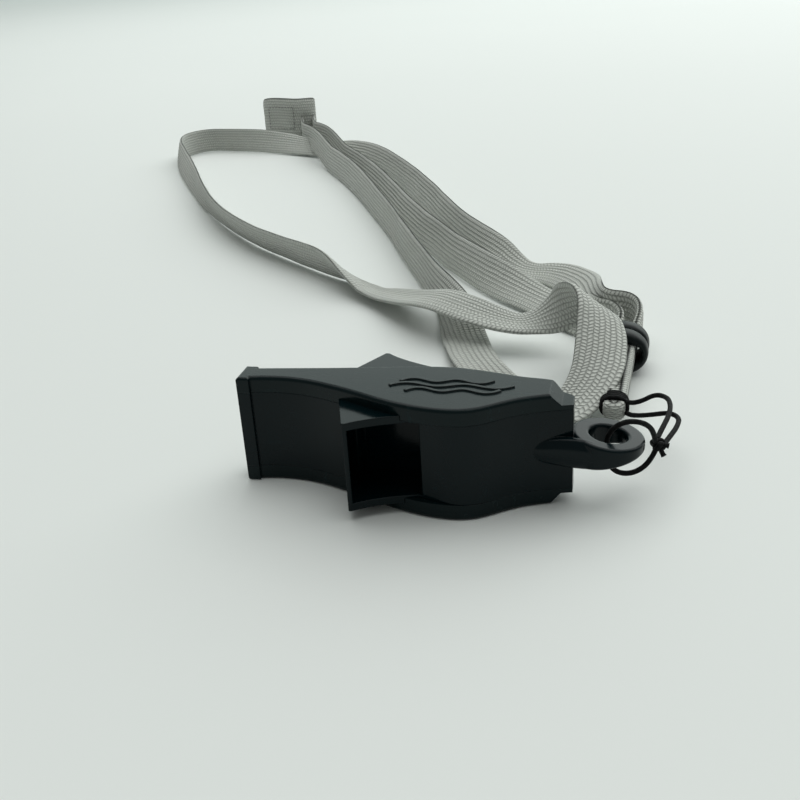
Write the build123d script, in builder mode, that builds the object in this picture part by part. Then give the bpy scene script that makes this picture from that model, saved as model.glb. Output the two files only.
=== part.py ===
from build123d import *
import os
import math

# Pealess training whistle lying on its flat side, with neck lanyard.
# Millimetres.  X runs from the mouthpiece to the tail, Y across the whistle, Z up.
# The origin is on the surface it lies on, under the middle of the whistle.

os.makedirs("parts", exist_ok=True)

# ---------------------------------------------------------------- driving dimensions
REF_X, REF_Y = 34.55, 2.85     # mouth end and split line, seen from the origin
height = 20.0                  # across the two side covers
cover_t = 2.85                 # side cover thickness
edge_r = 0.7                   # rounding of the covers' outer edges
lip_len = 2.3                  # bite lip at the mouth end
scoop_z0, scoop_z1 = 2.0, 18.0   # horns stand a little over the covers' joint lines
scoop_wall = 1.35             # horn plates above and below the window
win_x0, win_x1 = 19.7, 33.4    # sound windows, from the mouth end
tail_x = 57.7                  # end of the body
step_x0, step_x1, step_z = 53.9, 55.8, 2.0   # step at the tail of each cover
eye_x, eye_y, eye_r = 63.2, 0.4, 3.1   # tail eye
ring_zc, ring_a, ring_b = 10.0, 1.4, 2.9    # its height and the half axes of its section
tip_top, tip_low, tip_round = 1.2, -0.4, 0.5   # where the ring ends at the tail's tip, and its rounding
arm_stations = ((49.6, -2.9, 0.5, 0.7), (52.0, -2.75, 1.1, 1.8), (55.0, -2.75, 1.4, 2.45),
                (58.6, -3.2, 1.4, 2.65), (61.4, -3.9, 1.3, 2.3))
relief_h = 0.25
cord_d = 0.9                   # thin braided cord
strap_d = 3.6                  # tube of about the flat strap's section
bead_len, bead_w, bead_h = 9.4, 11.0, 9.8
leg_dx, leg_z = 1.9, 5.0       # the strap's two legs in the bead
leg_x0, leg_x1, leg_y0, leg_y1 = 63.7, 65.5, 28.0, 62.0   # their middle line, from the hitch past the bead
bead_y = 56.0


def at(x, y):
    """A point given from the mouth end and the split line."""
    return (x - REF_X, y - REF_Y)


def pts(*xy):
    return [at(*p) for p in xy]


# ---------------------------------------------------------------- plan curves
front_pts = pts((2.6, 0.45), (7.0, 0.75), (12.0, 0.05), (17.1, -1.8), (22.0, -4.1), (26.9, -6.7),
                (32.3, -8.8), (37.4, -9.8), (40.2, -9.75), (43.2, -8.8), (46.2, -6.8), (49.4, -4.7),
                (53.9, -2.9), (tail_x, -1.9))
front_body_pts = pts((2.6, 0.45), (7.0, 0.75), (12.0, 0.05), (17.1, -1.8), (22.0, -4.1), (26.9, -6.1),
                     (33.4, -7.9), (36.4, -9.0), (39.6, -9.65), (43.2, -8.75), (46.2, -6.8), (49.4, -4.7),
                     (53.9, -2.9), (tail_x, -1.9))
rear_pts = pts((2.6, 5.0), (8.0, 5.45), (14.0, 5.9), (20.0, 6.5), (27.5, 7.4), (34.5, 7.9),
               (38.1, 7.7), (41.6, 6.9), (45.2, 5.9), (48.7, 4.8), (52.2, 4.2), (55.4, 3.2), (tail_x, 1.4))
lip_y0, lip_y1 = -0.1, 5.55


def plan(front):
    """Closed outline: mouth end, front wall, tail end, rear wall."""
    with BuildSketch() as sk:
        with BuildLine():
            Spline(*front)
            Line(front[-1], rear_pts[-1])
            Spline(*rear_pts)
            Polyline(rear_pts[0], at(0.5, 5.0), at(0.5, 0.45), front[0])
        make_face()
    return sk.sketch


outline = plan(front_pts)
body_outline = plan(front_body_pts)


# ---------------------------------------------------------------- body
with BuildPart() as body_shell:
    # centre moulding between the covers
    with BuildSketch(Plane.XY.offset(cover_t)):
        add(body_outline)
        with Locations(at(lip_len / 2, (lip_y0 + lip_y1) / 2)):
            Rectangle(lip_len, lip_y1 - lip_y0)
    extrude(amount=height - 2 * cover_t)

    # horns beside the two sound windows
    with BuildSketch(Plane.XY.offset(scoop_z0)):
        with BuildLine():
            Polyline(at(18.7, -1.6), at(21.9, -12.0), at(22.4, -12.0))
            Spline(at(22.4, -12.0), at(24.6, -10.6), at(27.5, -9.3), at(30.6, -8.3), at(33.4, -7.6))
            Polyline(at(33.4, -7.6), at(33.4, -4.0), at(18.7, -1.6))
        make_face()
    extrude(amount=scoop_z1 - scoop_z0)
    with BuildSketch(Plane.XY.offset(scoop_z0)):
        with BuildLine():
            Polyline(at(16.2, 5.4), at(22.6, 17.7), at(23.2, 17.7))
            Spline(at(23.2, 17.7), at(26.0, 15.4), at(29.7, 13.2), at(34.0, 11.2), at(38.6, 9.3), at(42.5, 6.6))
            Polyline(at(42.5, 6.6), at(33.4, 4.5), at(16.2, 5.4))
        make_face()
    extrude(amount=scoop_z1 - scoop_z0)

    # the covers' places above and below the body
    with BuildSketch(Plane.XY, Plane.XY.offset(height - cover_t)):
        add(outline)
    extrude(amount=cover_t, mode=Mode.SUBTRACT)

    # hollow of the horns and the sound windows
    with BuildSketch(Plane.XY.offset(scoop_z0 + scoop_wall)):
        with BuildLine():
            Polyline(at(win_x0, -1.6), at(23.0, -13.0), at(34.2, -13.0), at(win_x1, -6.2), at(win_x0, -1.6))
        make_face()
    extrude(amount=scoop_z1 - scoop_z0 - 2 * scoop_wall, mode=Mode.SUBTRACT)
    with BuildSketch(Plane.XY.offset(scoop_z0 + scoop_wall)):
        with BuildLine():
            Polyline(at(17.5, 5.4), at(23.9, 19.0), at(42.0, 19.0), at(39.0, 9.4), at(win_x1, 8.4),
                     at(win_x1, 6.2), at(17.5, 5.4))
        make_face()
    extrude(amount=scoop_z1 - scoop_z0 - 2 * scoop_wall, mode=Mode.SUBTRACT)

    # front windway, then the front chamber behind its window
    with BuildSketch(Plane.XY.offset(cover_t)):
        with BuildLine():
            Spline(at(-0.5, 1.0), at(7.0, 1.8), at(12.0, 1.2), at(17.0, -0.5), at(22.0, -2.6))
            Line(at(22.0, -2.6), at(22.6, -1.6))
            Spline(at(22.6, -1.6), at(17.0, 0.7), at(12.0, 2.3), at(7.0, 2.75), at(-0.5, 2.1))
            Line(at(-0.5, 2.1), at(-0.5, 1.0))
        make_face()
    extrude(amount=height - 2 * cover_t, mode=Mode.SUBTRACT)
    with BuildSketch(Plane.XY.offset(cover_t)):
        with BuildLine():
            Polyline(at(21.0, -1.2), at(21.6, -3.0), at(win_x1, -7.3))
            Spline(at(win_x1, -6.9), at(36.4, -7.7), at(39.6, -8.3), at(43.0, -7.4), at(45.8, -5.6), at(49.0, -3.2))
            Line(at(win_x1, -7.3), at(win_x1, -6.9))
            Line(at(49.0, -3.2), at(49.0, -0.8))
            Spline(at(49.0, -0.8), at(38.0, 0.1), at(30.0, 0.6), at(22.0, 1.2))
            Line(at(22.0, 1.2), at(21.0, -1.2))
        make_face()
    extrude(amount=height - 2 * cover_t, mode=Mode.SUBTRACT)

    # rear windway, then the rear chamber behind its window
    with BuildSketch(Plane.XY.offset(cover_t)):
        with BuildLine():
            Spline(at(-0.5, 4.35), at(8.0, 4.35), at(14.0, 4.8), at(19.0, 5.25))
            Line(at(19.0, 5.25), at(19.0, 4.05))
            Spline(at(19.0, 4.05), at(14.0, 3.6), at(8.0, 3.2), at(-0.5, 3.25))
            Line(at(-0.5, 3.25), at(-0.5, 4.35))
        make_face()
    extrude(amount=height - 2 * cover_t, mode=Mode.SUBTRACT)
    with BuildSketch(Plane.XY.offset(cover_t)):
        with BuildLine():
            Polyline(at(18.9, 4.0), at(18.9, 5.8), at(win_x1, 6.6))
            Spline(at(win_x1, 6.6), at(37.8, 6.4), at(41.2, 5.6), at(44.6, 4.6), at(47.6, 3.5))
            Line(at(47.6, 3.5), at(47.6, 0.7))
            Spline(at(47.6, 0.7), at(38.0, 1.3), at(30.0, 1.8), at(22.0, 2.4))
            Line(at(22.0, 2.4), at(18.9, 4.0))
        make_face()
    extrude(amount=height - 2 * cover_t, mode=Mode.SUBTRACT)
    walls = body_shell.part
print("walls", walls.is_valid, len(walls.solids()))

with BuildPart() as tail_arm:
    # web between the tail end and the eye
    with BuildSketch(Plane.XY.offset(ring_zc - 2.3)):
        with BuildLine():
            Polyline(at(54.5, -2.2), at(60.6, -4.2), at(60.6, 4.9), at(57.6, 3.2), at(54.5, 1.5), at(54.5, -2.2))
        make_face()
    extrude(amount=4.6)
    # arm that swells out of the front wall
    for x, y, a, b in arm_stations:
        with BuildSketch(Plane(origin=(*at(x, y), ring_zc), x_dir=(0, 1, 0), z_dir=(1, 0, 0))):
            Ellipse(a, b)
    loft()
    with BuildSketch(Plane.XY):
        with Locations(at(eye_x, eye_y)):
            Circle(eye_r + ring_a)
    extrude(amount=height, mode=Mode.SUBTRACT)

with BuildPart() as tail_eye:
    # round eye with a tall rounded section
    with BuildSketch(Plane.XY.offset(ring_zc - ring_b)):
        with Locations(at(eye_x, eye_y)):
            Circle(eye_r + 2 * ring_a)
            Circle(eye_r, mode=Mode.SUBTRACT)
    extrude(amount=2 * ring_b)
    # the ring thins toward the tail's tip, from above and more from below
    for rim, tip in ((ring_b, tip_top), (-ring_b, tip_low)):
        far = eye_r + 2 * ring_a
        with BuildSketch(Plane(origin=(*at(0, eye_y), ring_zc), x_dir=(1, 0, 0), z_dir=(0, -1, 0))):
            Polygon((eye_x - far, rim), (eye_x + far + 1, rim + (tip - rim) * (2 * far + 1) / (2 * far)),
                    (eye_x + far + 1, 3 * rim), (eye_x - far, 3 * rim), align=None)
        extrude(amount=2 * far, both=True, mode=Mode.SUBTRACT)
    fillet(tail_eye.edges(), radius=tip_round)

with BuildPart() as body:
    add(walls)
    add(tail_eye.part)
    add(tail_arm.part)
body.part.label = "body_shell"
print("body solids", len(body.part.solids()), "volume", round(body.part.volume, 1), body.part.is_valid)
export_step(body.part, "parts/body_shell.step")

# ---------------------------------------------------------------- side covers
with BuildPart() as cover:
    with BuildSketch(Plane.XY.offset(height - cover_t)):
        add(outline)
    extrude(amount=cover_t)
    fillet(cover.edges().group_by(Axis.Z)[-1], radius=edge_r)
    # step down at the tail
    with BuildSketch(Plane.XZ.offset(-20)):
        with BuildLine():
            Polyline(at(step_x0, REF_Y + height + 1), at(step_x0, REF_Y + height),
                     at(step_x1, REF_Y + height - step_z), at(tail_x + 3, REF_Y + height - step_z),
                     at(tail_x + 3, REF_Y + height + 1), at(step_x0, REF_Y + height + 1))
        make_face()
    extrude(amount=40, mode=Mode.SUBTRACT)
with BuildPart() as lip:
    with BuildSketch(Plane.XY.offset(height - cover_t)):
        with Locations(at(lip_len / 2, (lip_y0 + lip_y1) / 2)):
            Rectangle(lip_len, lip_y1 - lip_y0)
    extrude(amount=cover_t)
    fillet(lip.edges().group_by(Axis.Z)[-1], radius=0.5)
plain_cover = cover.part + lip.part
print("cover", plain_cover.is_valid, len(plain_cover.solids()), round(plain_cover.volume, 1))

with BuildPart() as side_cover_lower:
    add(plain_cover)
    mirror(about=Plane.XY.offset(height / 2), mode=Mode.REPLACE)
side_cover_lower.part.label = "side_cover_lower"
export_step(side_cover_lower.part, "parts/side_cover_lower.step")

with BuildPart() as side_cover_upper:
    add(plain_cover)
    # plain wave relief, three long ripples
    with BuildSketch(Plane.XY.offset(height - 0.1)):
        for dy, x0, x1 in ((1.9, 29.0, 44.5), (0.0, 27.5, 48.0), (-1.9, 30.5, 46.0)):
            n = 5
            with BuildLine(mode=Mode.PRIVATE) as ripple:
                Spline(*[at(x0 + (x1 - x0) * k / n, -0.6 + dy + (0.55 if k % 2 else -0.55)) for k in range(n + 1)])
            trace(lines=ripple.line, line_width=0.6)
    extrude(amount=0.1 + relief_h)
side_cover_upper.part.label = "side_cover_upper"
print("upper", side_cover_upper.part.is_valid, len(side_cover_upper.part.solids()), round(side_cover_upper.part.volume, 1))
export_step(side_cover_upper.part, "parts/side_cover_upper.step")

# ---------------------------------------------------------------- slider bead
leg_dir = Vector(leg_x1 - leg_x0, leg_y1 - leg_y0, 0).normalized()
leg_side = Vector(leg_dir.Y, -leg_dir.X, 0)
bead_c = Vector(*at(leg_x0 + (bead_y - leg_y0) * leg_dir.X / leg_dir.Y, bead_y), leg_z)


def across(distance):
    """Plane across the two legs, this far from the middle of the bead."""
    return Plane(origin=bead_c + leg_dir * distance, x_dir=leg_side, z_dir=leg_dir)


with BuildPart() as slider_bead:
    # two rounded oval lobes on a narrower core
    for start in (-bead_len / 2 + 0.15, 0.15):
        with BuildPart(mode=Mode.PRIVATE) as lobe:
            with BuildSketch(across(start)):
                Ellipse(bead_w / 2, bead_h / 2)
            extrude(amount=bead_len / 2 - 0.3)
            fillet(lobe.edges(), radius=1.5)
        add(lobe.part)
    with BuildSketch(across(-bead_len / 2 + 1)):
        Ellipse(bead_w / 2 - 1.1, bead_h / 2 - 1.1)
    extrude(amount=bead_len - 2)
    with BuildSketch(across(-bead_len)):
        SlotCenterToCenter(2 * leg_dx, strap_d + 0.7)
    extrude(amount=2 * bead_len, mode=Mode.SUBTRACT)
slider_bead.part.label = "slider_bead"
print("bead", slider_bead.part.is_valid, len(slider_bead.part.solids()), round(slider_bead.part.volume, 1))
export_step(slider_bead.part, "parts/slider_bead.step")


# ---------------------------------------------------------------- cords
def place(route):
    return [(x - REF_X, y - REF_Y, z) for x, y, z in route]


def corner_radii(route):
    """Each corner's arc, as large as its two runs allow."""
    radii = []
    for a, b, c in zip(route, route[1:], route[2:]):
        u, v = Vector(*b) - Vector(*a), Vector(*c) - Vector(*b)
        turn = math.radians(u.get_angle(v))
        radii.append(0.45 * min(u.length, v.length) / math.tan(turn / 2))
    return radii


def cord(route, dia, name):
    """Round tube along straight runs joined by tangent arcs."""
    route = place(route)
    radii = corner_radii(route)
    start = Vector(*route[0])
    with BuildPart() as tube:
        with BuildLine() as path:
            line = FilletPolyline(*route, radius=radii)
        with BuildSketch(Plane(origin=start, z_dir=Vector(*route[1]) - start)):
            Circle(dia / 2)
        sweep(path=path.line)
    tube.part.label = name
    runs = [(Vector(*b) - Vector(*a)).length for a, b in zip(route, route[1:])]
    turns = [(Vector(*b) - Vector(*a)).get_angle(Vector(*c) - Vector(*b))
             for a, b, c in zip(route, route[1:], route[2:])]
    want = line.length * math.pi * dia * dia / 4
    print(name, "valid", tube.part.is_valid, "length", round(line.length, 1),
          "radii", [round(r, 1) for r in radii], "runs", [round(r, 1) for r in runs],
          "max turn", round(max(turns)), "volume/wanted", round(tube.part.volume / want, 4))
    export_step(tube.part, f"parts/{name}.step")
    return line.length


knot_c = (71.3, 4.4, 8.3)
hitch_c = (63.9, 26.7, 4.9)
eye_route = [(70.8, 3.7, 9.3), (70.4, 1.9, 12.2), (68.6, 0.0, 14.5), (65.8, -0.9, 15.0), (63.5, -0.6, 13.2),
             (62.8, 0.0, 10.2), (63.0, 0.3, 7.0), (64.7, 0.6, 4.7), (67.5, 1.2, 4.4), (70.0, 2.6, 5.8),
             (70.9, 3.8, 7.6)]
# one thin cord from the knot, through the hitch and back to the knot
strap_cord_route = [(71.1, 5.3, 8.9), (72.1, 8.8, 9.4), (73.2, 13.0, 9.6), (73.7, 17.4, 9.5), (73.3, 21.6, 9.2),
                    (71.2, 23.9, 8.7), (68.7, 23.3, 7.4), (66.7, 24.5, 6.4), (65.3, 26.9, 6.1),
                    (65.2, 26.7, 4.1), (66.6, 23.9, 4.3), (68.4, 21.0, 5.6), (70.9, 19.4, 6.7), (73.6, 19.4, 7.2),
                    (75.3, 16.8, 7.5), (74.7, 12.9, 7.6), (73.4, 8.9, 7.7), (72.1, 5.1, 7.8)]
strap_long_route = [
    (65.6, 28, 5), (67.4, 62, 5), (69.2, 70.5, 5), (67.2, 77, 5), (60.5, 77.5, 4.6), (56.8, 87.5, 3.2),
    (54.3, 104, 2.2), (47, 115.5, 1.9), (36.3, 119, 1.9), (27, 129.5, 1.9), (18, 145.5, 1.9),
    (7.5, 168.5, 1.9), (-4, 197, 1.9), (-19.5, 231, 1.9), (-36.5, 262.5, 1.9), (-56, 286, 1.9),
    (-73, 297, 1.9), (-90.5, 304, 1.9), (-108, 309, 1.9), (-121, 312, 1.9), (-133, 313, 1.9),
    (-139.5, 301, 1.9), (-136, 285, 1.9), (-126, 265, 1.9), (-109.5, 235, 1.9), (-91.5, 202, 1.9),
    (-73, 172.5, 1.9), (-54.5, 149, 1.9), (-39, 134, 1.9), (-26.5, 123, 1.9), (-16.5, 114.5, 1.9),
    (-6.5, 105, 1.9), (4, 96, 2.6), (13, 84.5, 5.8), (22, 74, 9.4), (31, 67.5, 8.8), (37.2, 66, 7.2),
    (42.2, 66, 6), (46, 66, 7), (49, 65.2, 8.9), (51.6, 63.4, 11), (54.6, 60.4, 13.6),
    (57.6, 56.2, 15.8), (60, 51.5, 15.1), (60.8, 46.5, 12.8), (60.9, 41.5, 10.4), (60.6, 36.5, 8.2),
    (58.9, 31.8, 5.8), (56, 27.8, 3.6), (52.5, 25.5, 2.2), (48, 29, 1.9), (42.5, 37.5, 1.9),
    (36.5, 48, 1.9), (32.2, 57, 1.9), (29.6, 66, 1.9), (26.2, 76, 1.9), (21, 88, 1.9),
    (14.5, 102.5, 1.9), (7, 121, 1.9), (-2, 143, 1.9), (-11.5, 166.5, 1.9), (-22, 190.5, 1.9),
    (-34, 218, 1.9), (-47, 244, 2.5), (-59, 265, 5.5), (-70, 286, 8.4), (-80, 305, 7.6),
    (-88, 323, 5.6), (-95, 343.3, 5.2)]
strap_short_route = [
    (61.8, 28, 5), (63.6, 62, 5), (65, 67.3, 5), (63, 71.6, 5), (58.5, 72.4, 4.4), (52.5, 81.5, 3),
    (46, 91.5, 2), (39, 98, 1.9), (31.5, 105.5, 1.9), (24, 115, 1.9), (15, 129.5, 1.9),
    (3.5, 151.5, 1.9), (-7.5, 174, 1.9), (-18, 198.5, 1.9), (-30, 225, 1.9), (-42, 248, 2.5),
    (-54, 269, 5.5), (-65, 290, 8.4), (-75, 309, 7.6), (-83, 325, 5.6), (-89.5, 343.3, 5.2)]
lengths = [cord(eye_route, cord_d, "eye_loop"), cord(strap_cord_route, cord_d, "strap_cord"),
           cord(strap_long_route, strap_d, "strap_long"), cord(strap_short_route, strap_d, "strap_short")]

with BuildPart() as cord_knot:
    with Locations((knot_c[0] - REF_X, knot_c[1] - REF_Y, knot_c[2])):
        Sphere(1.35)
cord_knot.part.label = "cord_knot"
export_step(cord_knot.part, "parts/cord_knot.step")

with BuildPart() as cord_hitch:
    # turns of thin cord round the strap's end, and the strap's folded tip
    with Locations((hitch_c[0] - REF_X, hitch_c[1] - REF_Y, hitch_c[2])):
        Box(8.4, 2.6, 4.4)
    fillet(cord_hitch.edges(), radius=0.9)
cord_hitch.part.label = "cord_hitch"
export_step(cord_hitch.part, "parts/cord_hitch.step")

seam_c = (-101.0, 345.0)
seam_l, seam_t, seam_h = 26.0, 3.4, 16.5
with BuildPart() as strap_seam:
    with BuildSketch(Plane.XY):
        with Locations(at(*seam_c)):
            RectangleRounded(seam_l, seam_t, 1.2)
    extrude(amount=seam_h)
    fillet(strap_seam.edges().group_by(Axis.Z)[-1], radius=1.0)
strap_seam.part.label = "strap_seam"
export_step(strap_seam.part, "parts/strap_seam.step")

with BuildPart() as seam_stitching:
    # box stitch on the seam's face
    sx, sy = at(seam_c[0] - 2.5, seam_c[1] - seam_t / 2)
    with BuildSketch(Plane(origin=(sx, sy, 10.0), x_dir=(1, 0, 0), z_dir=(0, -1, 0))):
        Rectangle(15.0, 6.5)
        Rectangle(13.8, 5.3, mode=Mode.SUBTRACT)
    extrude(amount=0.35)
seam_stitching.part.label = "seam_stitching"
export_step(seam_stitching.part, "parts/seam_stitching.step")
print("lengths", [round(v, 1) for v in lengths])
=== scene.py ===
"""The training whistle with its cord, neck strap and slider bead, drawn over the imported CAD."""
import math

import bmesh
import bpy
from mathutils import Matrix, Vector, noise


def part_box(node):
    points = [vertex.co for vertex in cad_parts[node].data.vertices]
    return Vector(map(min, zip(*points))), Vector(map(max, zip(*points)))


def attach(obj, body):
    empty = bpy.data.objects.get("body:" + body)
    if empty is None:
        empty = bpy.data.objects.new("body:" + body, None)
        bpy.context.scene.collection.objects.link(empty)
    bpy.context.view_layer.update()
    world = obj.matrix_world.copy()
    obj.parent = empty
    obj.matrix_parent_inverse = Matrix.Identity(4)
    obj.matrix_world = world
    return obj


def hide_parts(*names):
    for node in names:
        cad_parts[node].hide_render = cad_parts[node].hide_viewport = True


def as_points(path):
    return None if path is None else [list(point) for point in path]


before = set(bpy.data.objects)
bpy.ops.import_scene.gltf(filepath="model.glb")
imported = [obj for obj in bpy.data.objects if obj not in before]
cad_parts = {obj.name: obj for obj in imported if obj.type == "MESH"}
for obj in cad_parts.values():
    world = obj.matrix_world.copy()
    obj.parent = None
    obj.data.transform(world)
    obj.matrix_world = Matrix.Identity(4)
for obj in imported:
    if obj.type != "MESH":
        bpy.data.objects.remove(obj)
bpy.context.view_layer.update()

MM = 0.001
CM_PER_M = 100.0  # UV coordinates of strap and cords are centimetres of cloth
TURN = 2 * math.pi
UP = Vector((0, 0, 1))


# ---------------------------------------------------------------- places
# Points are given in millimetres from the mouth end and the split line of the
# whistle, as in the CAD source, and land in the row frame in metres.
REF = Vector((34.55, 2.85, 0.0))


def at(x, y, z):
    return (Vector((x, y, z)) - REF) * MM


# ---------------------------------------------------------------- node helpers
def new_material(name):
    m = bpy.data.materials.new(name)
    m.use_nodes = True
    nt = m.node_tree
    nt.nodes.clear()
    out = nt.nodes.new("ShaderNodeOutputMaterial")
    b = nt.nodes.new("ShaderNodeBsdfPrincipled")
    nt.links.new(b.outputs["BSDF"], out.inputs["Surface"])
    return m, nt, b


def node(nt, kind, inputs=(), **props):
    """A node whose inputs are constants or sockets to link from."""
    n = nt.nodes.new(kind)
    for k, v in props.items():
        setattr(n, k, v)
    for key, v in dict(inputs).items():
        if isinstance(v, bpy.types.NodeSocket):
            nt.links.new(v, n.inputs[key])
        else:
            n.inputs[key].default_value = v
    return n


def maths(nt, op, a, b=0.0, c=0.0):
    return node(nt, "ShaderNodeMath", {0: a, 1: b, 2: c}, operation=op).outputs[0]


def ramp(nt, fac, stops):
    """A colour for fac, read between stops of (place, colour)."""
    r = node(nt, "ShaderNodeValToRGB", {"Fac": fac})
    marks = r.color_ramp.elements
    while len(marks) < len(stops):
        marks.new(0.5)
    for mark, (place, colour) in zip(marks, stops):
        mark.position = place
        mark.color = (*colour, 1.0)
    return r.outputs["Color"]


def grey(v):
    return (v, v, v)


def scaled(tint, k):
    return tuple(c * k for c in tint)


def mix(nt, fac, a, b):
    """Colour a where fac is 0 and colour b where it is 1."""
    m = node(nt, "ShaderNodeMix", data_type="RGBA")
    for key, kind, v in (("Factor", "VALUE", fac), ("A", "RGBA", a), ("B", "RGBA", b)):
        socket = next(i for i in m.inputs if i.name == key and i.type == kind)
        if isinstance(v, bpy.types.NodeSocket):
            nt.links.new(v, socket)
        else:
            socket.default_value = v if kind == "VALUE" else (*v, 1.0)
    return next(o for o in m.outputs if o.type == "RGBA")


def cloud(nt, place, scale, detail, rough=0.5):
    """Smooth noise from 0 to 1."""
    inputs = {"Vector": place, "Scale": scale, "Detail": detail, "Roughness": rough}
    return node(nt, "ShaderNodeTexNoise", inputs).outputs[0]


def stretched(nt, place, scale, turn=0.0):
    """Coordinates scaled apart along each axis, for streaks."""
    inputs = {"Vector": place, "Rotation": (0.0, 0.0, turn), "Scale": scale}
    return node(nt, "ShaderNodeMapping", inputs).outputs[0]


def cloth_place(nt):
    """The UV place on the cloth, and its two parts: across and along."""
    uv = node(nt, "ShaderNodeUVMap", uv_map="UVMap").outputs[0]
    sep = node(nt, "ShaderNodeSeparateXYZ", {0: uv})
    return uv, sep.outputs[0], sep.outputs[1]


def add_bump(nt, b, height, strength, distance, normal=None):
    inputs = {"Height": height, "Strength": strength, "Distance": distance}
    if normal:
        inputs["Normal"] = normal
    bump = node(nt, "ShaderNodeBump", inputs)
    nt.links.new(bump.outputs[0], b.inputs["Normal"])


# ---------------------------------------------------------------- routes
# x, y, z, lean of the flat strap in degrees (0 lies flat, 90 stands on edge), and its
# width where it isn't the full one
STRAP_LONG = [
    (64.8, 28.0, 5.0, 90, 3.3), (66.5, 50.0, 5.0, 90, 4.6), (67.4, 62.0, 5.0, 90, 4.2),
    (69.2, 70.5, 5.0, 90, 9.5), (67.2, 77.0, 5.0, 90), (60.5, 77.5, 4.6, 95),
    (56.8, 87.5, 3.2, 125), (54.3, 104.0, 2.2, 152), (47.0, 115.5, 1.9, 160),
    (36.3, 119.0, 1.9, 176), (27.0, 129.5, 1.9, 118), (18.0, 145.5, 1.9, 106),
    (7.5, 168.5, 1.9, 110), (-4.0, 197.0, 1.9, 115), (-19.5, 231.0, 1.9, 110),
    (-36.5, 262.5, 1.9, 110), (-56.0, 286.0, 1.9, 130), (-73.0, 297.0, 1.9, 160),
    (-90.5, 304.0, 1.9, 130), (-108.0, 309.0, 1.9, 100), (-121.0, 312.0, 1.9, 90),
    (-133.0, 313.0, 1.9, 90), (-139.5, 301.0, 1.9, 92), (-136.0, 285.0, 1.9, 78),
    (-126.0, 265.0, 1.9, 66), (-109.5, 235.0, 1.9, 68), (-91.5, 202.0, 1.9, 84),
    (-73.0, 172.5, 1.9, 110), (-54.5, 149.0, 1.9, 118), (-39.0, 134.0, 1.9, 120),
    (-26.5, 123.0, 1.9, 116), (-16.5, 114.5, 1.9, 116), (-6.5, 105.0, 1.9, 150),
    (4.0, 96.0, 2.6, 180), (13.0, 84.5, 5.8, 186), (22.0, 74.0, 9.4, 189), (31.0, 67.5, 8.8, 190),
    (37.2, 66.0, 7.2, 188), (42.2, 66.0, 6.0, 182), (46.0, 66.0, 7.0, 194),
    (49.0, 65.2, 8.9, 226), (51.6, 63.4, 11.0, 262), (54.6, 60.4, 13.6, 292),
    (57.6, 56.2, 15.8, 312), (60.0, 51.5, 15.1, 332), (60.8, 46.5, 12.8, 346),
    (60.9, 41.5, 10.4, 356), (60.6, 36.5, 8.2, 360), (58.9, 31.8, 5.8, 360),
    (56.0, 27.8, 3.6, 360), (52.5, 25.5, 2.2, 360), (48.0, 29.0, 1.9, 360),
    (42.5, 37.5, 1.9, 360), (36.5, 48.0, 1.9, 360), (32.2, 57.0, 1.9, 360),
    (29.6, 66.0, 1.9, 356), (26.2, 76.0, 1.9, 325), (21.0, 88.0, 1.9, 288),
    (14.5, 102.5, 1.9, 280), (7.0, 121.0, 1.9, 278), (-2.0, 143.0, 1.9, 278),
    (-11.5, 166.5, 1.9, 278), (-22.0, 190.5, 1.9, 282), (-34.0, 218.0, 1.9, 285),
    (-47.0, 244.0, 2.5, 288), (-59.0, 265.0, 5.5, 285), (-70.0, 286.0, 8.4, 280),
    (-80.0, 305.0, 7.6, 275), (-88.0, 323.0, 5.6, 270), (-95.0, 344.3, 5.2, 270)]
STRAP_SHORT = [
    (63.0, 28.0, 5.0, 90, 3.3), (63.6, 50.0, 5.0, 90, 4.6), (63.6, 62.0, 5.0, 90, 4.2),
    (65.0, 67.3, 5.0, 90, 9.0), (63.0, 71.6, 5.0, 90), (58.5, 72.4, 4.4, 100),
    (52.5, 81.5, 3.0, 145), (46.0, 91.5, 2.0, 168), (39.0, 98.0, 1.9, 155),
    (31.5, 105.5, 1.9, 130), (24.0, 115.0, 1.9, 116), (15.0, 129.5, 1.9, 110),
    (3.5, 151.5, 1.9, 112), (-7.5, 174.0, 1.9, 115), (-18.0, 198.5, 1.9, 112),
    (-30.0, 225.0, 1.9, 110), (-42.0, 248.0, 2.5, 108), (-54.0, 269.0, 5.5, 105),
    (-65.0, 290.0, 8.4, 100), (-75.0, 309.0, 7.6, 95), (-83.0, 325.0, 5.6, 90),
    (-89.5, 346.0, 5.2, 90)]
# x, y, z of the thin cord's middle line
EYE_LOOP = [
    (70.8, 3.7, 9.3), (70.4, 1.9, 12.2), (68.6, 0.0, 14.5), (65.8, -0.9, 15.0),
    (63.5, -0.6, 13.2), (62.8, 0.0, 10.2), (63.0, 0.3, 7.0), (64.7, 0.6, 4.7), (67.5, 1.2, 4.4),
    (70.0, 2.6, 5.8), (70.9, 3.8, 7.6)]
STRAP_CORD = [
    (71.1, 5.3, 8.9), (72.1, 8.8, 9.4), (73.2, 13.0, 9.6), (73.7, 17.4, 9.5), (73.3, 21.6, 9.2),
    (71.2, 23.9, 8.7), (68.7, 23.3, 7.4), (66.7, 24.5, 6.4), (65.3, 26.9, 6.1), (65.2, 26.7, 4.1),
    (66.6, 23.9, 4.3), (68.4, 21.0, 5.6), (70.9, 19.4, 6.7), (73.6, 19.4, 7.2), (75.3, 16.8, 7.5),
    (74.7, 12.9, 7.6), (73.4, 8.9, 7.7), (72.1, 5.1, 7.8)]


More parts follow.
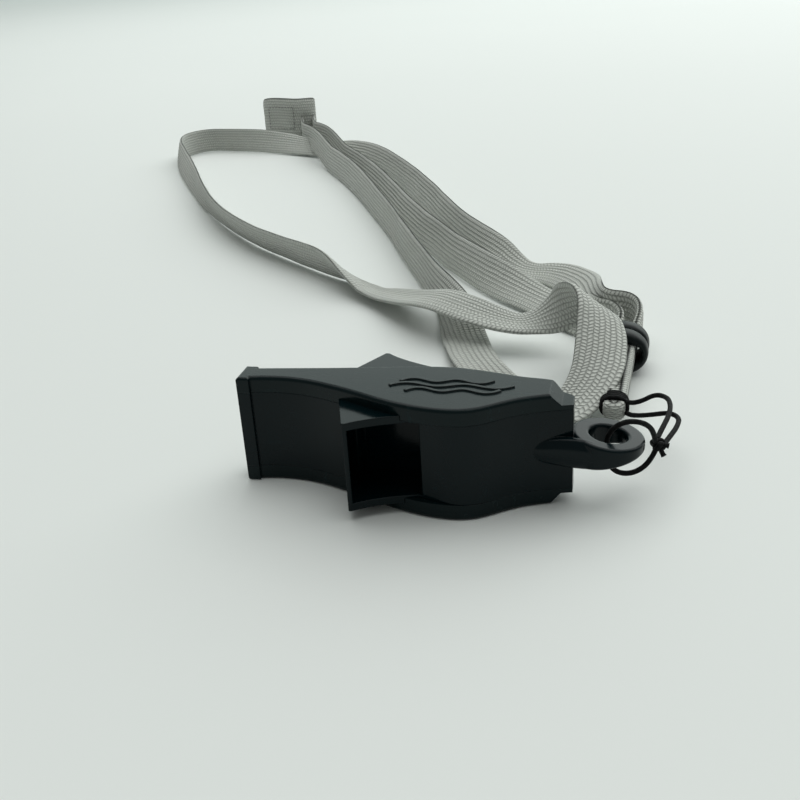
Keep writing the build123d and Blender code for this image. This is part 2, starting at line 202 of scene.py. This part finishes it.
def sampled(name, rows, resolution=14):
    """Points read from the NURBS spline that has these rows as its control points."""
    data = bpy.data.curves.new(name, "CURVE")
    data.dimensions = "3D"
    data.resolution_u = resolution
    sp = data.splines.new("NURBS")
    sp.points.add(len(rows) - 1)
    for p, r in zip(sp.points, rows):
        p.co = (*r, 1.0)
    sp.order_u = 3
    sp.use_endpoint_u = True
    ob = bpy.data.objects.new(name, data)
    bpy.context.collection.objects.link(ob)
    mesh = bpy.data.meshes.new_from_object(ob)
    out = [v.co.copy() for v in mesh.vertices]
    bpy.data.objects.remove(ob)
    bpy.data.curves.remove(data)
    bpy.data.meshes.remove(mesh)
    return out


def evenly(line, step, *others):
    """The line's points a step apart, with what goes with them, and the line's length."""
    run = [0.0]
    for a, b in zip(line, line[1:]):
        run.append(run[-1] + (b - a).length)
    n = max(2, round(run[-1] / step))
    out = [[] for _ in range(1 + len(others))]
    k = 0
    for i in range(n + 1):
        want = run[-1] * i / n
        while k < len(run) - 2 and run[k + 1] < want:
            k += 1
        f = (want - run[k]) / max(run[k + 1] - run[k], 1e-12)
        for row, src in zip(out, (line, *others)):
            row.append(src[k].lerp(src[k + 1], f))
    return out, run[-1]


def tangents(pts):
    out = []
    for i in range(len(pts)):
        a, b = pts[max(i - 1, 0)], pts[min(i + 1, len(pts) - 1)]
        out.append((b - a).normalized())
    return out


# ---------------------------------------------------------------- mesh helpers
def mesh_piece(name, verts, faces, material, uvs=None):
    """A smooth-shaded object; uvs holds one tuple of corners for each face."""
    me = bpy.data.meshes.new(name)
    me.from_pydata(verts, [], faces)
    me.update()
    if uvs:
        layer = me.uv_layers.new(name="UVMap")
        layer.data.foreach_set("uv", [x for face in uvs for corner in face for x in corner])
    me.polygons.foreach_set("use_smooth", [True] * len(me.polygons))
    me.materials.append(material)
    ob = bpy.data.objects.new(name, me)
    bpy.context.collection.objects.link(ob)
    return ob


def loft(name, rings, material, uv):
    """Rings of points joined to a closed tube; uv gives each ring point's place on the cloth."""
    n = len(rings[0])
    verts = [p for r in rings for p in r]
    faces, uvs = [], []
    for i in range(len(rings) - 1):
        for j in range(n):
            k = (j + 1) % n
            faces.append((i * n + j, i * n + k, (i + 1) * n + k, (i + 1) * n + j))
            uvs.append((uv(i, j), uv(i, j + 1), uv(i + 1, j + 1), uv(i + 1, j)))
    for i, first in ((0, True), (len(rings) - 1, False)):
        mid = len(verts)
        verts.append(sum((Vector(p) for p in rings[i]), Vector()) / n)
        for j in range(n):
            a, b = i * n + j, i * n + (j + 1) % n
            here, there = uv(i, j), uv(i, j + 1)
            faces.append((b, a, mid) if first else (a, b, mid))
            uvs.append((there, here, here) if first else (here, there, here))
    return mesh_piece(name, verts, faces, material, uvs)


def band(steps):
    """Face (1 or -1) and place across (-1 to 1) of each point round a flat band."""
    return [(face, (2.0 * k / steps - 1.0) * face) for face in (1, -1) for k in range(steps + 1)]


def ribs(count, place):
    """0 on each rib's crest to 1 between two, for a place across from -1 to 1."""
    return 0.5 + 0.5 * math.cos(math.pi * count * (place + 1.0))


# ---------------------------------------------------------------- materials
def web_material(name, tint, gap_shade):
    """Flat braided webbing: slanted stitches in columns, on the strap's own coordinates, with
    painted shade between them.
    """
    column, stitch_long = 0.116, 0.092  # cm
    slant = 0.42
    m, nt, b = new_material(name)
    uv, u, v = cloth_place(nt)
    waver = maths(nt, "SUBTRACT", cloud(nt, uv, 3.0, 2.0), 0.5)
    across = maths(nt, "ADD", maths(nt, "DIVIDE", u, column), maths(nt, "MULTIPLY", waver, 0.35))
    along = maths(nt, "ADD", maths(nt, "DIVIDE", v, stitch_long),
                  maths(nt, "MULTIPLY", waver, 0.9))

    # every other column leans the other way and starts half a stitch later
    fu = maths(nt, "FRACT", across)
    odd = maths(nt, "FLOORED_MODULO", maths(nt, "FLOOR", across), 2.0)
    way = maths(nt, "SUBTRACT", 1.0, maths(nt, "MULTIPLY", odd, 2.0))
    lean = maths(nt, "MULTIPLY", maths(nt, "SUBTRACT", fu, 0.5), way)
    fv = maths(nt, "FRACT", maths(nt, "ADD", maths(nt, "MULTIPLY_ADD", odd, 0.5, along),
                                  maths(nt, "MULTIPLY", lean, slant)))

    def hump(f):
        """1 in the middle of a stitch, 0 at its edges."""
        off = maths(nt, "ABSOLUTE", maths(nt, "MULTIPLY_ADD", f, 2.0, -1.0))
        return maths(nt, "SUBTRACT", 1.0, maths(nt, "POWER", off, 2.0))

    stitch = maths(nt, "POWER", maths(nt, "MULTIPLY", hump(fu), hump(fv)), 0.6)
    fibre = cloud(nt, stretched(nt, uv, (60.0, 14.0, 1.0)), 1.0, 3.0, 0.6)
    blotch = cloud(nt, uv, 0.55, 3.0, 0.55)
    yarn = mix(nt, fibre, scaled(tint, 0.8), scaled(tint, 1.22))
    yarn = mix(nt, maths(nt, "MULTIPLY", blotch, 0.35), yarn, scaled(tint, 0.72))
    # painted shade: the colour falls from the yarn on each stitch's crest to the gap colour at its
    # edges
    shade = ramp(nt, stitch, [(0.0, grey(0.0)), (0.45, grey(0.5)),
                              (0.8, grey(0.9)), (1.0, grey(1.0))])
    nt.links.new(mix(nt, shade, gap_shade, yarn), b.inputs["Base Color"])
    b.inputs["Roughness"].default_value = 0.9
    b.inputs["Sheen Weight"].default_value = 0.25
    b.inputs["Sheen Roughness"].default_value = 0.5
    b.inputs["Specular IOR Level"].default_value = 0.16
    relief = maths(nt, "ADD", maths(nt, "MULTIPLY", stitch, 0.85),
                   maths(nt, "MULTIPLY", fibre, 0.15))
    add_bump(nt, b, relief, 0.8, 0.0005)
    return m


def cord_material(name, tint):
    """Fine round braid: two sets of yarns crossing round the cord."""
    around, along = 6.0, 14.0  # yarns round the cord and per centimetre
    m, nt, b = new_material(name)
    uv, u, v = cloth_place(nt)
    a = maths(nt, "MULTIPLY", u, around)
    c = maths(nt, "MULTIPLY", v, along)
    right = maths(nt, "PINGPONG", maths(nt, "ADD", a, c), 1.0)
    left = maths(nt, "PINGPONG", maths(nt, "SUBTRACT", a, c), 1.0)
    braid = maths(nt, "MULTIPLY", right, left)
    f = maths(nt, "ADD", maths(nt, "MULTIPLY", braid, 0.8),
              maths(nt, "MULTIPLY", cloud(nt, uv, 30.0, 3.0), 0.3))
    # painted shade in the crossings between yarns and painted highlight on their crests, following
    # the same relief as the bump
    colour = ramp(nt, f, [(0.0, scaled(tint, 0.3)), (0.6, tint), (1.0, scaled(tint, 2.4))])
    nt.links.new(colour, b.inputs["Base Color"])
    b.inputs["Roughness"].default_value = 0.7
    b.inputs["Specular IOR Level"].default_value = 0.15
    b.inputs["Sheen Weight"].default_value = 0.02
    add_bump(nt, b, f, 0.6, 0.00012)
    return m


def plastic_material(name, tint, rough, grain, scuff):
    """Moulded plastic: faint grain, flow marks, light handling scuffs and rounded edges."""
    edge_radius = 0.0003
    m, nt, b = new_material(name)
    co = node(nt, "ShaderNodeTexCoord").outputs["Object"]
    fine = cloud(nt, co, 2600.0, 2.0, 0.6)
    flow = cloud(nt, stretched(nt, co, (60.0, 170.0, 110.0)), 1.0, 3.0, 0.55)
    marks = cloud(nt, stretched(nt, co, (90.0, 1500.0, 500.0), turn=0.6), 1.0, 2.0)
    worn = ramp(nt, marks, [(0.62, grey(0.0)), (0.78, grey(1.0))])
    base = mix(nt, flow, scaled(tint, 0.75), scaled(tint, 1.3))
    base = mix(nt, maths(nt, "MULTIPLY", worn, scuff * 0.35), base, scaled(tint, 4.0))
    nt.links.new(base, b.inputs["Base Color"])
    r = maths(nt, "ADD", maths(nt, "MULTIPLY_ADD", flow, 0.12, rough - 0.06),
              maths(nt, "MULTIPLY", worn, scuff * 0.2))
    r = maths(nt, "ADD", r, maths(nt, "MULTIPLY", fine, 0.06))
    nt.links.new(r, b.inputs["Roughness"])
    b.inputs["IOR"].default_value = 1.5
    b.inputs["Specular IOR Level"].default_value = 0.16
    h = maths(nt, "ADD", maths(nt, "MULTIPLY", fine, grain), maths(nt, "MULTIPLY", flow, 0.5))
    edge = node(nt, "ShaderNodeBevel", {"Radius": edge_radius}, samples=4)
    add_bump(nt, b, h, 0.35, 0.00006, normal=edge.outputs[0])
    return m


def rubber_material(name, tint):
    """Matt rubber with a fine grain."""
    m, nt, b = new_material(name)
    co = node(nt, "ShaderNodeTexCoord").outputs["Object"]
    fine = cloud(nt, co, 1800.0, 3.0)
    patch = cloud(nt, co, 220.0, 3.0)
    nt.links.new(mix(nt, patch, scaled(tint, 0.7), scaled(tint, 1.5)), b.inputs["Base Color"])
    nt.links.new(maths(nt, "MULTIPLY_ADD", patch, 0.15, 0.3), b.inputs["Roughness"])
    b.inputs["Specular IOR Level"].default_value = 0.14
    add_bump(nt, b, fine, 0.4, 0.00005)
    return m


# the second colour is the painted shade in the gaps between stitches
WEB = web_material("webbing_grey", (0.66, 0.68, 0.632), (0.35, 0.362, 0.335))
THREAD = cord_material("thread_grey", (0.30, 0.31, 0.29))
CORD = cord_material("cord_black", (0.0035, 0.0037, 0.004))
BODY = plastic_material("plastic_body", (0.0010, 0.0058, 0.0072), 0.13, 0.2, 0.35)
COVER = plastic_material("plastic_cover", (0.0022, 0.0082, 0.0092), 0.2, 0.45, 0.7)
RUBBER = rubber_material("rubber_black", (0.006, 0.009, 0.0092))


# ---------------------------------------------------------------- the whistle itself
for name, material in (("body_shell", BODY), ("side_cover_upper", COVER),
                       ("side_cover_lower", COVER)):
    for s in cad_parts[name].material_slots:
        s.material = material


# ---------------------------------------------------------------- strap
WEB_WIDE, WEB_THICK = 10.4, 1.5  # mm
COLUMNS = 8  # ribs across the strap
RIB_DEPTH = 0.17  # share of the thickness
CUP, CUP_RATE = 0.00035, 42.0  # m of cupping, and its change per m of strap
FLOOR_GAP = 0.00008  # m between the strap's lowest edge and the floor
HALF_CLOTH = 0.52  # cm of cloth across half the strap


def strap(name, route, step=0.0010, seed=0.0):
    """Flat braided strap along a route, leaning as the route says and never under the floor."""
    line = sampled(name, [at(*r[:3]) for r in route])
    extra = sampled(name, [(math.radians(r[3]), r[4] if len(r) > 4 else WEB_WIDE, 0.0)
                           for r in route])
    (pts, ext), length = evenly(line, step, extra)
    ring = band(COLUMNS * 4)
    rows, centre = [], []
    for i, (p, e, t) in enumerate(zip(pts, ext, tangents(pts))):
        lean, wide = e[0], e[1] * MM
        # the strap thickens where it is gathered
        thick = WEB_THICK * MM * math.sqrt(WEB_WIDE * MM / wide)
        n = UP.cross(t).normalized()
        w = math.cos(lean) * n + math.sin(lean) * t.cross(n)
        d = t.cross(w)
        cup = CUP * noise.noise(Vector((i * step * CUP_RATE, seed, 0.0)))
        cup *= min(1.0, wide / (WEB_WIDE * MM))
        low = p.z - abs(w.z) * wide / 2 - abs(d.z) * thick / 2 - abs(cup)
        c = p + UP * max(0.0, FLOOR_GAP - low)
        centre.append(c)
        row = []
        for side, u in ring:
            edge = math.sqrt(max(0.0, 1.0 - abs(u) ** 7))
            rib = 1.0 - RIB_DEPTH * ribs(COLUMNS, u)
            y = side * thick / 2 * edge * rib + cup * (1.0 - u * u) * 1.6
            row.append(c + w * (u * wide / 2) + d * y)
        rows.append(row)

    def uv(i, j):
        return ((ring[j % len(ring)][1] + 1.0) * HALF_CLOTH, i * step * CM_PER_M)

    return loft(name, rows, WEB, uv), centre, length


strap_a, path_a, long_a = strap("neck_strap_long", STRAP_LONG, seed=1.7)
strap_b, path_b, long_b = strap("neck_strap_short", STRAP_SHORT, seed=6.2)
for ob, cad in ((strap_a, "strap_long"), (strap_b, "strap_short")):
    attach(ob, "whistle")
    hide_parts(cad)


# ---------------------------------------------------------------- round cords
CORD_RADIUS = 0.00045


def tube(name, line, radius, material, step=0.00022, taper=None):
    """Slightly uneven round cord along a line, its radius changed by taper from end to end."""
    sides = 12
    (pts,), length = evenly(line, step)
    tan = tangents(pts)
    ref = tan[0].orthogonal().normalized()
    rings = []
    for i, (p, t) in enumerate(zip(pts, tan)):
        ref = (ref - t * ref.dot(t)).normalized()
        side = t.cross(ref)
        r = radius * (taper(i / (len(pts) - 1)) if taper else 1.0)
        r *= 1.0 + 0.05 * noise.noise(Vector((i * step * 900.0, radius * 9000.0, 3.0)))
        rings.append([p + (ref * math.cos(TURN * k / sides) + side * math.sin(TURN * k / sides)) * r
                      for k in range(sides)])

    def uv(i, j):
        return (j / sides, i * step * CM_PER_M)

    return loft(name, rings, material, uv), pts, length


loop, loop_path, loop_long = tube(
    "eye_cord", sampled("eye_cord", [at(*p) for p in EYE_LOOP]), CORD_RADIUS, CORD)
link, link_path, link_long = tube(
    "link_cord", sampled("link_cord", [at(*p) for p in STRAP_CORD]), CORD_RADIUS, CORD)
for ob, cad in ((loop, "eye_loop"), (link, "strap_cord")):
    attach(ob, "whistle")
    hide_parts(cad)

# knot: a closed overhand turn of the same cord, with its two cut ends
KNOT_MID, KNOT_SIZE, KNOT_STEPS = at(71.3, 4.4, 8.3), 0.00033, 72
turns = []
for k in range(KNOT_STEPS + 1):
    t = TURN * k / KNOT_STEPS
    turns.append(KNOT_MID + KNOT_SIZE * Vector((
        math.sin(t) + 2 * math.sin(2 * t),
        math.cos(t) - 2 * math.cos(2 * t),
        -1.5 * math.sin(3 * t))))
knot, _, _ = tube("cord_knot_tied", turns, 0.00046, CORD, step=0.00012)


def flared(f):
    """A cut end spreads over its last part."""
    return 1.0 + 0.25 * (f > 0.86)


ends = []
for k, way in enumerate((Vector((0.5, -0.9, -0.55)), Vector((0.95, -0.3, 0.25)))):
    rows = [KNOT_MID + way * 0.0006,
            KNOT_MID + way * 0.0012 + Vector((0, 0, -0.0001)),
            KNOT_MID + way * 0.0017 + Vector((0.0001, 0, -0.0003))]
    ends.append(tube(f"cord_end_{k + 1}", sampled("end", rows), 0.00042, CORD, taper=flared)[0])
for ob in (knot, *ends):
    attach(ob, "whistle")
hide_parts("cord_knot")

# hitch: turns of the cord round the gathered strap, and the strap's folded tip
HITCH_MID = at(63.9, 26.7, 4.9)
HITCH_WIDE, HITCH_TALL, HITCH_PITCH = 0.0025, 0.0021, 0.00078
HITCH_STEPS, STEPS_A_TURN = 96, 28
wraps = []
for k in range(HITCH_STEPS + 1):
    a = TURN * k / STEPS_A_TURN - 0.6
    wraps.append(HITCH_MID + Vector((
        HITCH_WIDE * math.cos(a) * (1 - 0.05 * math.cos(2 * a)),
        -0.0013 + HITCH_PITCH * k / STEPS_A_TURN,
        HITCH_TALL * math.sin(a))))
hitch, _, _ = tube("cord_hitch_turns", wraps, CORD_RADIUS, CORD)
TIP = [
    (64.8, 30.0, 5.0, 90, 3.2), (64.7, 26.0, 5.0, 90, 3.2), (64.7, 24.1, 4.8, 90, 3.6),
    (63.1, 23.9, 4.8, 90, 3.6), (63.1, 26.0, 5.0, 90, 3.2), (63.1, 30.0, 5.0, 90, 3.2)]
tip, _, _ = strap("strap_fold", TIP, step=0.0006, seed=3.1)
for ob, slot_name in ((hitch, "black_cord"), (tip, "grey_webbing")):
    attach(ob, "whistle")
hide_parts("cord_hitch")


# ---------------------------------------------------------------- sewn join of the strap
SEAM_RIBS = 9
SEAM_THICK, SEAM_TALL = 0.0017, 0.0096  # m, half of each
SEAM_MID = 0.0098  # m from the floor to its middle
SEAM_HALF_CLOTH, SEAM_STEP = 0.82, 0.0006  # cm of cloth across half, m along


def seam_piece():
    """Two strap ends folded over each other and pressed flat, standing on edge."""
    plan = [(-115.0, 346.6), (-109.0, 345.5), (-103.0, 344.4), (-98.5, 344.0), (-94.5, 344.9),
            (-88.5, 347.6)]
    (pts,), _ = evenly(sampled("seam", [at(x, y, 8.2) for x, y in plan]), SEAM_STEP)
    ring = band(18)
    rings = []
    for i, (p, t) in enumerate(zip(pts, tangents(pts))):
        f = i / (len(pts) - 1)
        n = Vector((t.y, -t.x, 0.0)).normalized()
        end = math.sqrt(max(0.0, 1.0 - abs(2 * f - 1) ** 10))
        fat = SEAM_THICK * (0.55 + 0.45 * end) * (1.0 + 0.12 * math.sin(f * 17.0))
        tall = SEAM_TALL * (0.90 + 0.10 * end)
        mid = Vector((p.x, p.y, SEAM_MID))
        row = []
        for side, v in ring:
            edge = math.sqrt(max(0.0, 1.0 - abs(v) ** 6))
            rib = 1.0 - 0.08 * ribs(SEAM_RIBS, v)
            fold = 0.25 * math.exp(-((v - 0.12) / 0.10) ** 2)
            rise = v * tall + 0.0003 * math.sin(f * 6.0)
            row.append(mid + n * side * fat * edge * (rib - fold) + Vector((0, 0, rise)))
        rings.append(row)

    def uv(i, j):
        return ((ring[j % len(ring)][1] + 1.0) * SEAM_HALF_CLOTH, i * SEAM_STEP * CM_PER_M)

    return loft("strap_join", rings, WEB, uv)


seam = seam_piece()
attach(seam, "whistle")
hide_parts("strap_seam")


def stitch_row(name, corners, pitch=0.0017):
    """Short raised stitches along a closed row on the join's face."""
    rise, radius = 0.00016, 0.00019
    steps, around = 6, 8
    out = Vector((0, -1, 0))
    verts, faces, uvs = [], [], []
    for a, b in zip(corners, corners[1:]):
        run = (b - a).length
        way = (b - a).normalized()
        side = way.cross(out)
        n = max(1, round(run / pitch))
        for k in range(n):
            s = a + way * (run * (k + 0.12) / n)
            e = a + way * (run * (k + 0.88) / n)
            base = len(verts)
            for i in range(steps + 1):
                f = i / steps
                c = s.lerp(e, f) + out * rise * math.sin(math.pi * f)
                r = radius * (0.55 + 0.45 * math.sin(math.pi * f))
                for j in range(around):
                    g = TURN * j / around
                    verts.append(c + (out * math.cos(g) + side * math.sin(g)) * r)
            for i in range(steps):
                here, there = base + i * around, base + (i + 1) * around
                v0, v1 = i * 0.02, (i + 1) * 0.02
                for j in range(around):
                    q = (j + 1) % around
                    faces.append((here + j, here + q, there + q, there + j))
                    u0, u1 = j / around, (j + 1) / around
                    uvs.append(((u0, v0), (u1, v0), (u1, v1), (u0, v1)))
            for i, order in ((0, range(around - 1, -1, -1)), (steps, range(around))):
                faces.append(tuple(base + i * around + j for j in order))
                uvs.append(((0.0, 0.0),) * around)
    return mesh_piece(name, verts, faces, THREAD, uvs)


# the box of stitches: left and right, bottom and top, in mm
LEFT, RIGHT, BOTTOM, TOP = (-111.5, 343.45), (-98.5, 342.3), 4.8, 15.2
BOX = [at(*side, z) for side, z in (
    (LEFT, BOTTOM), (RIGHT, BOTTOM), (RIGHT, TOP), (LEFT, TOP), (LEFT, BOTTOM))]
box_stitch = stitch_row("join_stitches", BOX)
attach(box_stitch, "whistle")
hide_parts("seam_stitching")


# ---------------------------------------------------------------- slider bead
# the wall's section: mm along the bead, and how far out from the hole (0) to the rim (1)
BEAD_SECTION = [
    (-4.55, 0.30), (-4.6, 0.52), (-4.35, 0.80), (-3.7, 0.96), (-2.5, 1.0), (-1.3, 0.985),
    (-0.62, 0.90), (-0.25, 0.70), (0.0, 0.64), (0.25, 0.70), (0.62, 0.90), (1.3, 0.985),
    (2.5, 1.0), (3.7, 0.96), (4.35, 0.80), (4.6, 0.52), (4.55, 0.30), (4.2, 0.10), (3.2, 0.0),
    (1.2, 0.0), (-1.2, 0.0), (-3.2, 0.0), (-4.2, 0.10)]
BEAD_WIDE, BEAD_TALL, HOLE_WIDE, HOLE_TALL = 5.5, 4.9, 3.95, 2.1  # half sizes in mm
HOLE_SQUARE = 3.2  # 2 is an ellipse, more is squarer


def bead_piece():
    """Grooved rubber bead with a flat hole, lying along the strap's legs."""
    low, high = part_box("slider_bead")
    mid = (low + high) / 2
    way = Vector((1.8, 34.0, 0.0)).normalized()
    side = Vector((way.y, -way.x, 0.0))
    around, n = 56, len(BEAD_SECTION)
    verts, faces = [], []
    for s, out in BEAD_SECTION:
        for k in range(around):
            a = TURN * k / around
            outer = Vector((BEAD_WIDE * math.cos(a), BEAD_TALL * math.sin(a)))
            reach = 1.0 / ((abs(math.cos(a) / HOLE_WIDE) ** HOLE_SQUARE
                            + abs(math.sin(a) / HOLE_TALL) ** HOLE_SQUARE) ** (1 / HOLE_SQUARE))
            inner = Vector((reach * math.cos(a), reach * math.sin(a)))
            q = inner.lerp(outer, out)
            verts.append(mid + (way * s + side * q.x + UP * q.y) * MM)
    for i in range(n):
        for k in range(around):
            j, q = (i + 1) % n, (k + 1) % around
            faces.append((i * around + k, j * around + k, j * around + q, i * around + q))
    ob = mesh_piece("rubber_slider", verts, faces, RUBBER)
    sub = ob.modifiers.new("round", "SUBSURF")
    sub.levels = sub.render_levels = 2
    return ob


bead = bead_piece()
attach(bead, "bead")
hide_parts("slider_bead")

# the loop through the ring is drawn 29.5 mm long; the larger of its length and 30 mm, and each path
# as a list of points, are worked out below but not kept; the loop through the ring is drawn 29.5 mm
# long, and a free cord is declared as 30 mm or more
max(0.030, loop_long)
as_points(loop_path)
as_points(link_path)
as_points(path_a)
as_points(path_b)


# ---------------------------------------------------------------- floor, light and camera
def floor_material():
    m, nt, b = new_material("floor_pale")
    co = node(nt, "ShaderNodeTexCoord").outputs["Object"]
    colour = mix(nt, cloud(nt, co, 2.0, 2.0), (0.77, 0.795, 0.775), (0.80, 0.82, 0.80))
    nt.links.new(colour, b.inputs["Base Color"])
    b.inputs["Roughness"].default_value = 0.6
    b.inputs["Specular IOR Level"].default_value = 0.08
    return m


def floor_piece():
    bm = bmesh.new()
    bmesh.ops.create_grid(bm, x_segments=8, y_segments=8, size=30.0)
    me = bpy.data.meshes.new("floor")
    bm.to_mesh(me)
    bm.free()
    me.materials.append(floor_material())
    ob = bpy.data.objects.new("floor", me)
    bpy.context.collection.objects.link(ob)


floor_piece()


def area(name, where, aim, size, power, colour):
    """A rectangular light of size (x, y) in metres and power in watts, turned toward aim."""
    data = bpy.data.lights.new(name, "AREA")
    data.energy = power
    data.color = colour
    data.shape = "RECTANGLE"
    data.size, data.size_y = size
    ob = bpy.data.objects.new(name, data)
    ob.location = where
    ob.rotation_euler = (Vector(aim) - Vector(where)).to_track_quat("-Z", "Y").to_euler()
    bpy.context.collection.objects.link(ob)


area("window", (1.05, 2.0, 1.15), (0.0, 0.15, 0.0), (2.0, 1.3), 8.0, (1.0, 1.0, 0.985))
area("wall", (0.2, 2.9, 0.95), (0.0, 0.1, 0.0), (5.0, 1.7), 25.0, (0.86, 1.0, 0.96))
area("ceiling", (0.2, 0.75, 1.7), (0.05, 0.45, 0.0), (2.6, 2.6), 34.0, (0.97, 1.0, 0.985))

scene = bpy.context.scene
scene.world = scene.world or bpy.data.worlds.new("room")
scene.world.use_nodes = True
back = next(n for n in scene.world.node_tree.nodes if n.type == "BACKGROUND")
back.inputs["Color"].default_value = (0.93, 0.97, 0.945, 1.0)
back.inputs["Strength"].default_value = 0.24
scene.view_settings.view_transform = "Standard"

cam_data = bpy.data.cameras.new("camera")
cam_data.lens = 45.0
cam_data.sensor_width = 36.0
cam_data.clip_start, cam_data.clip_end = 0.01, 20.0
cam = bpy.data.objects.new("camera", cam_data)
# the camera's own axes: right, up, and away from what it looks at
right = Vector((0.9766, 0.2072, -0.0582)).normalized()
away = Vector((0.2124, -0.8848, 0.4147)).normalized()
up = away.cross(right).normalized()
right = up.cross(away).normalized()
pose = Matrix((right, up, away)).transposed().to_4x4()
pose.translation = Vector((0.02992, -0.15107, 0.08637))
cam.matrix_world = pose
bpy.context.collection.objects.link(cam)
scene.camera = cam

bpy.context.view_layer.update()
